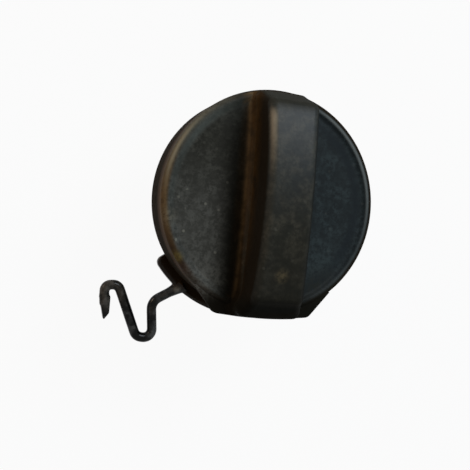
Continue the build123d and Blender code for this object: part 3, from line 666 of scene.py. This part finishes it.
def wound_spring_tree():
    """A round-wire compression spring standing on its lower end, with closed ends."""
    tree = bpy.data.node_groups.new("wound_spring", "GeometryNodeTree")
    net = Nodes(tree)
    for name, (kind, value) in SPRING_INPUTS.items():
        socket = tree.interface.new_socket(name, in_out="INPUT", socket_type=kind)
        if value is not None:
            socket.default_value = value
    tree.interface.new_socket("Spring", in_out="OUTPUT", socket_type="NodeSocketGeometry")
    entry = tree.nodes.new("NodeGroupInput").outputs
    size = {name: Wire(net, entry[name]) for name in SPRING_INPUTS}

    half_wire = size["Wire"] * 0.5
    path = net.node("GeometryNodeCurveSpiral", {}, {
        "Resolution": size["Steps"], "Rotations": size["Turns"], "Start Radius": size["Mean radius"],
        "End Radius": size["Mean radius"], "Height": size["Free length"]})
    share = net.node("GeometryNodeSplineParameter", {}, {}, "Factor")
    rise = net.node("ShaderNodeMapRange", {"interpolation_type": "SMOOTHSTEP"}, {
        "Value": share, "To Min": half_wire, "To Max": size["Free length"] - half_wire})
    x, y, z = net.parts(net.node("GeometryNodeInputPosition", {}, {}))
    closed = net.node("GeometryNodeSetPosition", {}, {
        "Geometry": path, "Position": net.node("ShaderNodeCombineXYZ", {}, {0: x, 1: y, 2: rise})})
    section = net.node("GeometryNodeCurvePrimitiveCircle", {"mode": "RADIUS"}, {
        "Resolution": size["Sides"], "Radius": half_wire})
    wire = net.node("GeometryNodeCurveToMesh", {}, {"Curve": closed, "Profile Curve": section, "Fill Caps": True})
    single = net.node("GeometryNodeRealizeInstances", {}, {0: wire})
    coated = net.node("GeometryNodeSetMaterial", {}, {"Geometry": single, "Material": size["Finish"]})
    net.node("NodeGroupOutput", {}, {0: coated})
    return tree


def grown(tree, values):
    """The plain mesh that a geometry node tree gives for these inputs."""
    sockets = {item.name: item.identifier for item in tree.interface.items_tree}
    holder = bpy.data.objects.new("holder", bpy.data.meshes.new("holder"))
    bpy.context.scene.collection.objects.link(holder)
    modifier = holder.modifiers.new("Tree", "NODES")
    modifier.node_group = tree
    for name, value in values.items():
        modifier[sockets[name]] = value
    graph = bpy.context.evaluated_depsgraph_get()
    mesh = bpy.data.meshes.new_from_object(holder.evaluated_get(graph))
    bpy.data.objects.remove(holder)
    return mesh


def outward(mesh):
    """Weld doubles and turn every face outwards."""
    shape = bmesh.new()
    shape.from_mesh(mesh)
    bmesh.ops.remove_doubles(shape, verts=shape.verts, dist=WELD_REACH)
    bmesh.ops.recalc_face_normals(shape, faces=shape.faces)
    shape.to_mesh(mesh)
    shape.free()
    return mesh


def without_slivers(mesh):
    """Take out the faces that have no area."""
    shape = bmesh.new()
    shape.from_mesh(mesh)
    slivers = [face for face in shape.faces if face.calc_area() < SLIVER_AREA]
    bmesh.ops.delete(shape, geom=slivers, context="FACES_ONLY")
    shape.to_mesh(mesh)
    shape.free()
    return mesh


# ------------------------------------------------------------------ operators
class CAP_OT_cover(bpy.types.Operator):
    """Finish the grip cover with what is clipped inside it"""

    bl_idname = "cap.cover"
    bl_label = "Cover"

    def execute(self, context):
        look = context.scene.cap_finishes
        mesh = without_slivers(frame["nodes"]["grip_cover"].data.copy())
        piece = new_piece("cover_moulding", mesh, cover_finish(look), "cover", smooth=False)
        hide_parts("grip_cover")
        dress(piece.data.materials[0], "grip_cover")
        dress(inner_finish(look, "retainer_nylon_finish"), "cover_retainer")
        dress(plain_finish("drive_acetal_finish", look.acetal, shade(look.acetal, 0.86, (1.0, 0.98, 0.92)), 0.38,
                           0.6 * MM, 0.01 * MM), "drive_ring")
        return {"FINISHED"}


class CAP_OT_tether(bpy.types.Operator):
    """Soften the tether's moulding and finish it"""

    bl_idname = "cap.tether"
    bl_label = "Tether"

    def execute(self, context):
        look = context.scene.cap_finishes
        soft = context.scene.cap_tether
        holder = bpy.data.objects.new("holder", outward(frame["nodes"]["tether"].data.copy()))
        context.scene.collection.objects.link(holder)
        remesh = holder.modifiers.new("Remesh", "REMESH")
        remesh.mode = "VOXEL"
        remesh.voxel_size = soft.voxel
        smooth = holder.modifiers.new("Smooth", "SMOOTH")
        smooth.factor = 0.5
        smooth.iterations = soft.soften
        graph = context.evaluated_depsgraph_get()
        mesh = bpy.data.meshes.new_from_object(holder.evaluated_get(graph))
        bpy.data.objects.remove(holder)
        if len(mesh.polygons) < FEWEST_FACES:
            raise RuntimeError("the tether's moulding came out empty")
        piece = new_piece("tether_moulding", outward(mesh), tether_finish(look), "tether")
        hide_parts("tether")
        dress(piece.data.materials[0], "tether")
        return {"FINISHED"}


class CAP_OT_closure(bpy.types.Operator):
    """Finish the threaded closure, its seals and the fixed pieces in it"""

    bl_idname = "cap.closure"
    bl_label = "Closure"

    def execute(self, context):
        look = context.scene.cap_finishes
        dress(inner_finish(look, "closure_nylon_finish"), "closure_body")
        rubber = plain_finish("seal_rubber_finish", look.rubber, shade(look.rubber, 2.1, (1.0, 0.98, 0.95)), 0.62,
                              0.35 * MM, 0.012 * MM)
        dress(rubber, "main_seal", "cage_o_ring", "pressure_gasket")
        dress(plain_finish("slip_plastic_finish", look.slip, shade(look.slip, 0.85, (1.0, 0.98, 0.93)), 0.42,
                           0.5 * MM, 0.008 * MM), "slip_washer")
        valve = plain_finish("valve_plastic_finish", look.valve, shade(look.valve, 0.72, (1.0, 1.0, 1.04)), 0.42,
                             0.5 * MM, 0.010 * MM)
        dress(valve, "valve_cage", "spring_cup", "splash_baffle", "vacuum_poppet")
        dress(zinc_finish(look), "pressure_plate", "vacuum_keeper")
        return {"FINISHED"}


class CAP_OT_springs(bpy.types.Operator):
    """Wind the valves' springs from round wire"""

    bl_idname = "cap.springs"
    bl_label = "Springs"

    def execute(self, context):
        wind = context.scene.cap_springs
        steel = steel_finish(context.scene.cap_finishes)
        tree = wound_spring_tree()
        # kept is the length at the end of the travel over the length at rest
        for node, wire, body, joint, fixed_end, kept in (
            ("pressure_spring", wind.pressure_wire, "closure", "pressure_lift", "top", 12 / 14),
            ("vacuum_spring", wind.vacuum_wire, "pressure_valve", "vacuum_drop", "bottom", 4.5 / 6),
        ):
            low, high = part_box(node)
            mesh = grown(tree, {"Turns": wind.turns, "Mean radius": (high.x - low.x - wire) / 2,
                                "Free length": high.z - low.z, "Wire": wire, "Steps": round(wind.steps * wind.turns),
                                "Sides": wind.sides, "Finish": steel})
            middle = (low + high) / 2
            mesh.transform(Matrix.Translation((middle.x, middle.y, low.z)))
            piece = new_piece(f"{node}_wound", outward(mesh), steel, body)
            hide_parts(node)
            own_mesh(piece)
            dress(steel, node)
        return {"FINISHED"}


class CAP_OT_stage(bpy.types.Operator):
    """Set up the floor, the soft lamps and the camera"""

    bl_idname = "cap.stage"
    bl_label = "Stage"

    def execute(self, context):
        scene, stage = context.scene, context.scene.cap_stage
        half = stage.floor_size / 2
        corners = [(-half, -half, cad_box[0].z), (half, -half, cad_box[0].z), (half, half, cad_box[0].z),
                   (-half, half, cad_box[0].z)]
        mesh = bpy.data.meshes.new("floor")
        mesh.from_pydata(corners, [], [(0, 1, 2, 3)])
        mesh.materials.append(floor_finish(stage))
        floor = bpy.data.objects.new("floor", mesh)
        scene.collection.objects.link(floor)

        room(stage)
        for name, power, place, size, tint in (
            ("key_lamp", stage.key_power, stage.key_place, 0.45, (0.86, 0.93, 1.0)),
            ("warm_lamp", stage.warm_power, stage.warm_place, 0.30, (1.0, 0.72, 0.48)),
        ):
            lamp = bpy.data.lights.new(name, "AREA")
            lamp.shape = "DISK"
            lamp.size = size
            lamp.energy = power
            lamp.color = tint
            holder = bpy.data.objects.new(name, lamp)
            aim = Vector((0, 0, disc_top)) - Vector(place)
            holder.matrix_world = Matrix.Translation(place) @ aim.to_track_quat("-Z", "Y").to_matrix().to_4x4()
            scene.collection.objects.link(holder)

        eye = bpy.data.cameras.new("camera")
        eye.lens = stage.lens
        eye.sensor_width = SENSOR_WIDTH
        eye.clip_start = NEAR_CLIP
        camera = bpy.data.objects.new("camera", eye)
        right, up = Vector(stage.camera_right), Vector(stage.camera_up)
        turn = Matrix((right, up, right.cross(up))).transposed().to_4x4()
        camera.matrix_world = Matrix.Translation(stage.camera_place) @ turn
        scene.collection.objects.link(camera)
        scene.camera = camera
        scene.view_settings.view_transform = "Standard"
        return {"FINISHED"}


def room(stage):
    """Soft light from all round, warm on the left and cool on the right, strongest at the heel, seen as white."""
    world = bpy.data.worlds.new("room")
    world.use_nodes = True
    bpy.context.scene.world = world
    f = Nodes(world.node_tree)
    rightward, heelward, _ = f.parts(f.node("ShaderNodeTexCoord", {}, {}, "Generated"))
    tint = f.mix(rightward.rise(-0.3, 0.5), (0.62, 0.52, 0.40, 1), (0.72, 0.90, 1.0, 1))
    level = heelward.rise(-0.7, 0.6).lifted(0.45) * rightward.rise(0.1, 0.6).lifted(0.55)
    lit = f.node("ShaderNodeBackground", {}, {"Color": f.mix(level, BLACK, tint), "Strength": stage.world_level})
    white = f.node("ShaderNodeBackground", {}, {"Color": WHITE, "Strength": 1.0})
    shown = f.node("ShaderNodeMixShader", {}, {0: seen(f), 1: lit, 2: white})
    f.node("ShaderNodeOutputWorld", {}, {"Surface": shown})


class CAP_PT_panel(bpy.types.Panel):
    """The filler cap's steps and settings"""

    bl_idname = "CAP_PT_panel"
    bl_label = "Filler cap"
    bl_space_type = "VIEW_3D"
    bl_region_type = "UI"
    bl_category = "Filler cap"

    def draw(self, context):
        for step in STEPS:
            self.layout.operator(step.bl_idname)
        for group in (context.scene.cap_finishes, context.scene.cap_springs, context.scene.cap_tether,
                      context.scene.cap_stage):
            box = self.layout.box()
            for name in group.__annotations__:
                box.prop(group, name)


STEPS = (CAP_OT_cover, CAP_OT_tether, CAP_OT_closure, CAP_OT_springs, CAP_OT_stage)
GROUPS = {"cap_finishes": CapFinishes, "cap_springs": CapSprings, "cap_tether": CapTether, "cap_stage": CapStage}


def register():
    for group in GROUPS.values():
        bpy.utils.register_class(group)
    for step in STEPS:
        bpy.utils.register_class(step)
    bpy.utils.register_class(CAP_PT_panel)
    for name, group in GROUPS.items():
        setattr(bpy.types.Scene, name, PointerProperty(type=group))


def unregister():
    for name in GROUPS:
        delattr(bpy.types.Scene, name)
    bpy.utils.unregister_class(CAP_PT_panel)
    for step in reversed(STEPS):
        bpy.utils.unregister_class(step)
    for group in reversed(GROUPS.values()):
        bpy.utils.unregister_class(group)


def main():
    """Build the looks."""
    register()
    bpy.ops.cap.cover()
    bpy.ops.cap.tether()
    bpy.ops.cap.closure()
    bpy.ops.cap.springs()
    bpy.ops.cap.stage()


if __name__ == "__main__":
    main()
